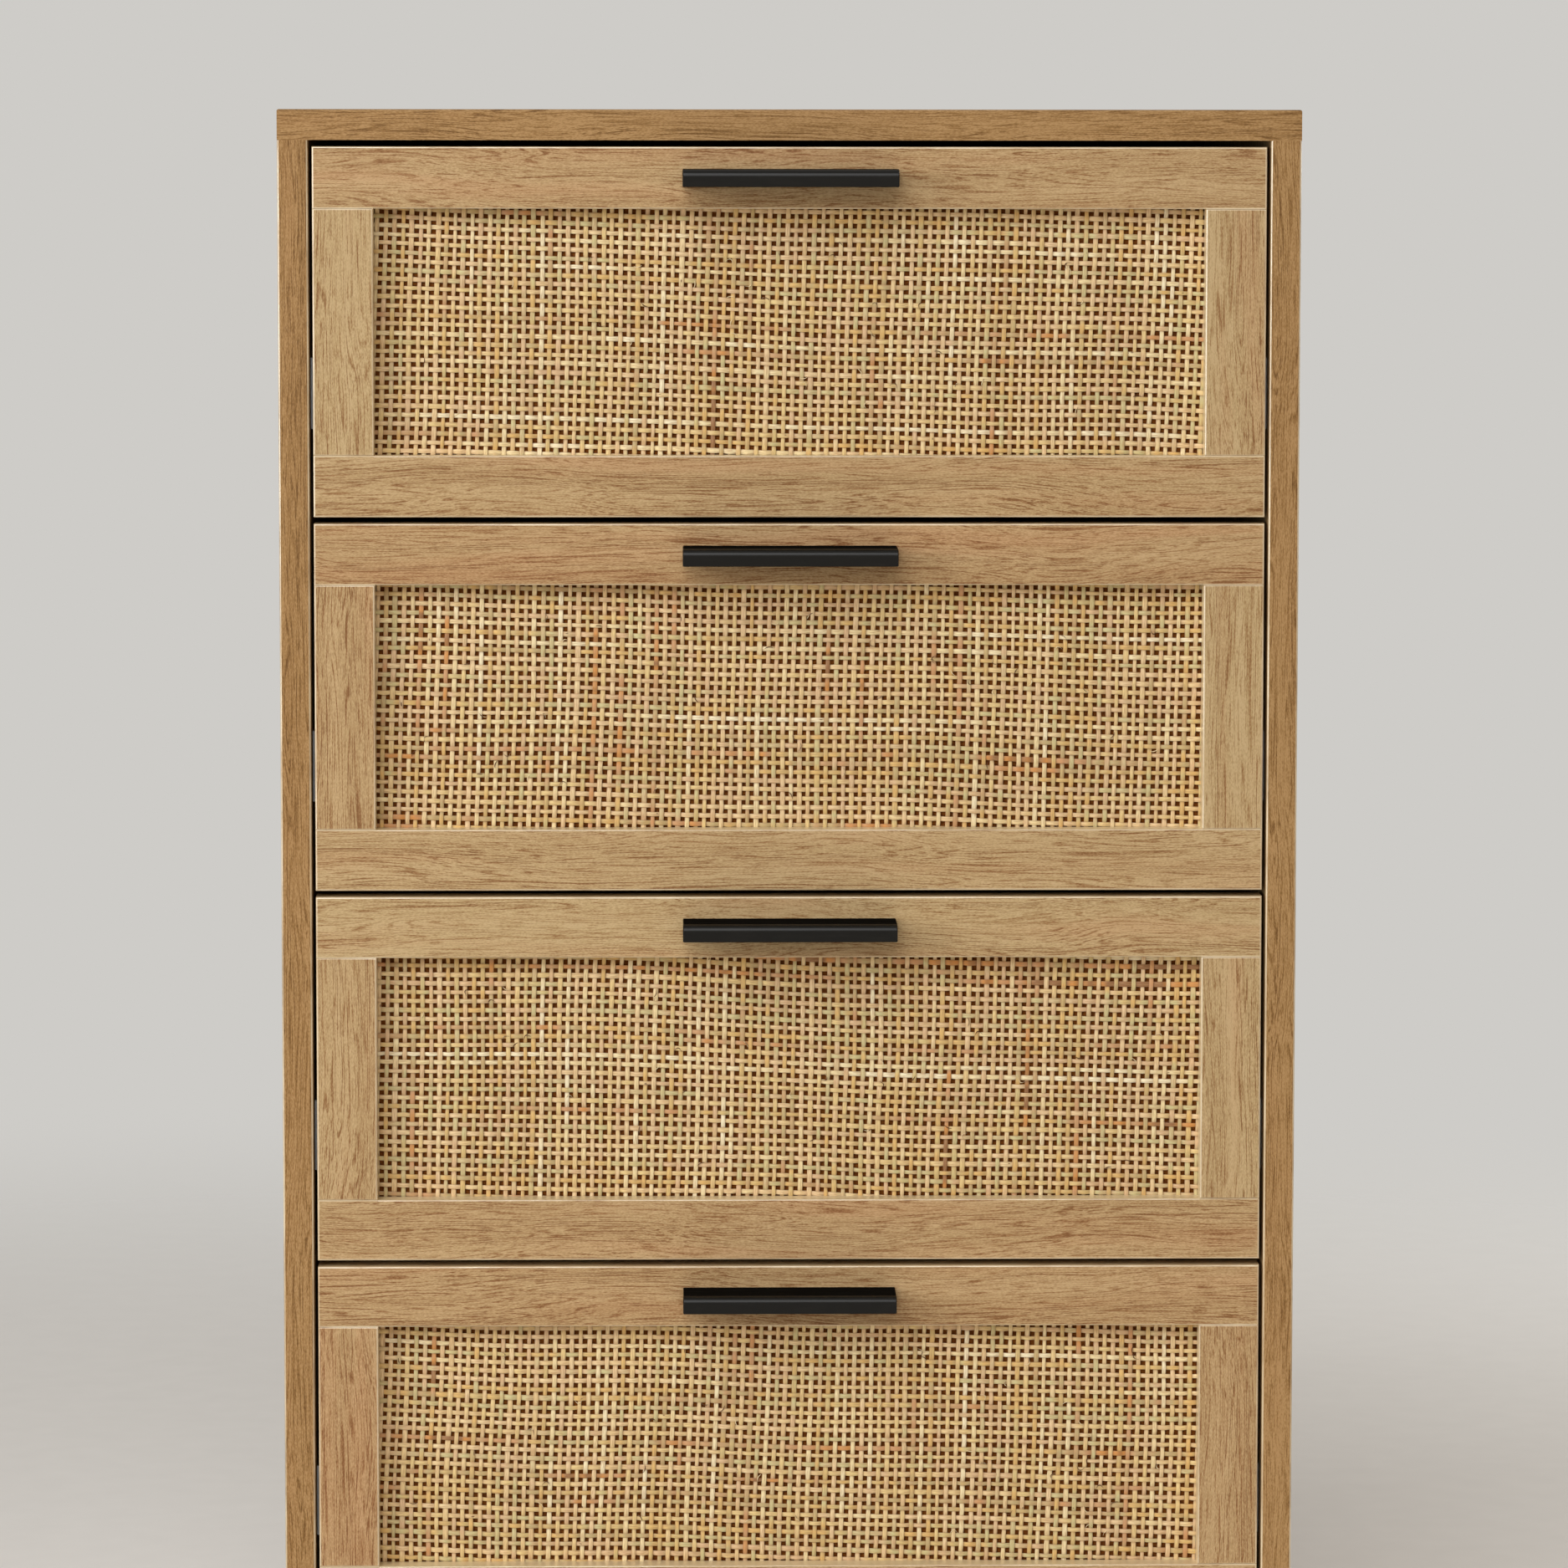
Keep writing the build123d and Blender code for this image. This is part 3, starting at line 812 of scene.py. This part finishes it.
def model_screw(name, diameter, height):
    """A pan-head screw's head on the plane z = 0, domed and with a cross recess."""
    bpy.ops.object.select_all(action="DESELECT")
    bpy.ops.mesh.primitive_cylinder_add(
        vertices=SCREW_SIDES, radius=diameter / 2, depth=height, location=(0, 0, height / 2)
    )
    screw = bpy.context.object
    screw.name = name
    settle(screw)
    rim = screw.data.vertices
    edit(screw, "EDGE", lambda edge: all(rim[v].co.z > height / 2 for v in edge.vertices))
    bpy.ops.mesh.bevel(offset=height * SCREW_DOME, segments=3, affect="EDGES")
    bpy.ops.object.mode_set(mode="OBJECT")
    for turn in (0, math.pi / 2):
        bpy.ops.object.select_all(action="DESELECT")
        bpy.ops.mesh.primitive_cube_add(size=1, location=(0, 0, height), rotation=(0, 0, turn))
        cutter = bpy.context.object
        cutter.scale = (diameter * SLOT_LENGTH, diameter * SLOT_WIDTH, 2 * SLOT_DEPTH)
        settle(cutter)
        apply_modifier(screw, "BOOLEAN", object=cutter, operation="DIFFERENCE", solver="EXACT")
        bpy.data.objects.remove(cutter)
    return screw


def drive_screws(screw, places, turn, name, body):
    """Puts copies of a screw at places, turned to their surface and joined into one piece."""
    screws = []
    for place in places:
        copy = copy_of(screw, (0, 0, 0))
        copy.rotation_euler = turn
        copy.location = place
        settle(copy)
        screws.append(copy)
    piece = join(screws, name)
    piece.data.materials.append(zinc)
    select_only(piece)
    bpy.ops.object.shade_smooth_by_angle(angle=SCREW_CREASE)
    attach(piece, body)


PULL_SCREW_X = 48 * MM
PULL_SCREW_DIAMETER = 8 * MM
PULL_SCREW_HEIGHT = 2.8 * MM
RUNNER_SCREW_DIAMETER = 7 * MM
RUNNER_SCREW_HEIGHT = 2.2 * MM
RUNNER_SHEET = 1.2 * MM
RUNNER_SCREW_STEPS = (28 * MM, 156 * MM, 310 * MM)
pull_screw = model_screw("pull_screw", PULL_SCREW_DIAMETER, PULL_SCREW_HEIGHT)
runner_screw = model_screw("runner_screw", RUNNER_SCREW_DIAMETER, RUNNER_SCREW_HEIGHT)
for number in DRAWERS:
    body = f"drawer_{number}"
    handle_low, handle_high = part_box(f"drawer_{number}_handle")
    handle_level = (handle_low.z + handle_high.z) / 2
    places = [(side * PULL_SCREW_X, front_rear_y, handle_level) for side in (-1, 1)]
    drive_screws(pull_screw, places, (-math.pi / 2, 0, 0), f"drawer_{number}_pull_screws", body)
    member_low, member_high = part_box(f"drawer_{number}_runners")
    member_level = (member_low.z + member_high.z) / 2
    box_side_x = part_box(f"drawer_{number}_right_box_side")[1].x
    for side, side_name in ((-1, "left"), (1, "right")):
        x = side * (box_side_x + RUNNER_SHEET)
        places = [(x, member_low.y + step, member_level) for step in RUNNER_SCREW_STEPS]
        turn = (0, side * math.pi / 2, 0)
        drive_screws(runner_screw, places, turn, f"drawer_{number}_{side_name}_runner_screws", body)
for screw in (pull_screw, runner_screw):
    bpy.data.objects.remove(screw)

# Floor, which fades out round the chest
FLOOR_HALF = 3.0
FLOOR_SOLID = 0.8
FLOOR_GONE = 2.2
bpy.ops.object.select_all(action="DESELECT")
bpy.ops.mesh.primitive_plane_add(size=2 * FLOOR_HALF, location=(0, 0, 0))
floor = bpy.context.object
floor.name = "floor"
stage = Finish("studio_paper", {"Roughness": 0.9})
paper = stage.noise(stage.stretch(stage.place, (40, 40, 40)), detail=2.0)
reach = stage.node("VectorMath", {"operation": "LENGTH"}, {0: stage.place}, output="Value")
stage.feed("Base Color", stage.mix(paper, srgb(232, 230, 226), srgb(238, 236, 232)))
stage.feed("Alpha", 1.0 - stage.rise(reach, FLOOR_SOLID, FLOOR_GONE))
floor.data.materials.append(stage.material)

# Light
COOL_LIGHT = (0.97, 0.985, 1.0)
WARM_LIGHT = (1.0, 0.78, 0.56)
NEUTRAL_LIGHT = (1.0, 0.985, 0.96)
AIM_HEIGHT = 0.45
BOUNCE_STRENGTH = 0.1


def add_lamp(name, place, target, size, power, colour):
    """A square soft lamp that shines on a target and doesn't show itself."""
    lamp = bpy.data.lights.new(name, "AREA")
    lamp.shape = "SQUARE"
    lamp.size = size
    lamp.energy = power
    lamp.color = colour
    holder = bpy.data.objects.new(name, lamp)
    bpy.context.scene.collection.objects.link(holder)
    holder.visible_camera = False
    holder.location = place
    holder.rotation_euler = (Vector(target) - Vector(place)).to_track_quat("-Z", "Y").to_euler()


front_middle = (0, front_y, AIM_HEIGHT)
back_middle = (0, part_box("back_panel")[1].y, AIM_HEIGHT)
add_lamp("key", (-2.6, -2.0, 1.2), front_middle, 1.8, 60, COOL_LIGHT)
add_lamp("fill", (1.6, -3.6, 0.9), front_middle, 2.4, 8, WARM_LIGHT)
add_lamp("sky", (-0.9, -3.6, 3.1), front_middle, 2.8, 98, COOL_LIGHT)
add_lamp("rear", (2.8, 1.9, 1.8), back_middle, 2.0, 85, NEUTRAL_LIGHT)
world = bpy.data.worlds.new("studio")
bpy.context.scene.world = world
world.use_nodes = True
studio = NodeTree(world.node_tree)
camera_ray = studio.node("LightPath", output="Is Camera Ray")
glossy_ray = camera_ray.output("Is Glossy Ray")
transmission_ray = camera_ray.output("Is Transmission Ray")
seen = camera_ray.most(glossy_ray).most(transmission_ray)
warm_bounce = studio.node("Background", None, {"Color": (*WARM_LIGHT, 1.0), "Strength": BOUNCE_STRENGTH})
pale_surround = studio.node("Background", None, {"Color": srgb(206, 204, 200), "Strength": 1.0})
surround = studio.node("MixShader", None, {0: seen, 1: warm_bounce, 2: pale_surround})
studio.tree.links.new(surround.socket, studio.tree.nodes["World Output"].inputs["Surface"])

# Camera
CAMERA_X = -0.06
CAMERA_DISTANCE = 3.2
CAMERA_HEIGHT = 0.82
CAMERA_LENS = 150.1
SENSOR_WIDTH = 36.0
CAMERA_SHIFT = -0.03
LOOK_DOWN = 5.23
LEAN = -0.047
LOOK_ASIDE = -1.021
camera_data = bpy.data.cameras.new("camera")
camera_data.lens = CAMERA_LENS
camera_data.sensor_width = SENSOR_WIDTH
camera_data.shift_y = CAMERA_SHIFT
camera = bpy.data.objects.new("camera", camera_data)
bpy.context.scene.collection.objects.link(camera)
camera.location = (CAMERA_X, front_y - CAMERA_DISTANCE, CAMERA_HEIGHT)
camera.rotation_euler = (math.radians(90 - LOOK_DOWN), math.radians(LEAN), math.radians(LOOK_ASIDE))
bpy.context.scene.camera = camera
bpy.context.scene.view_settings.view_transform = "Standard"
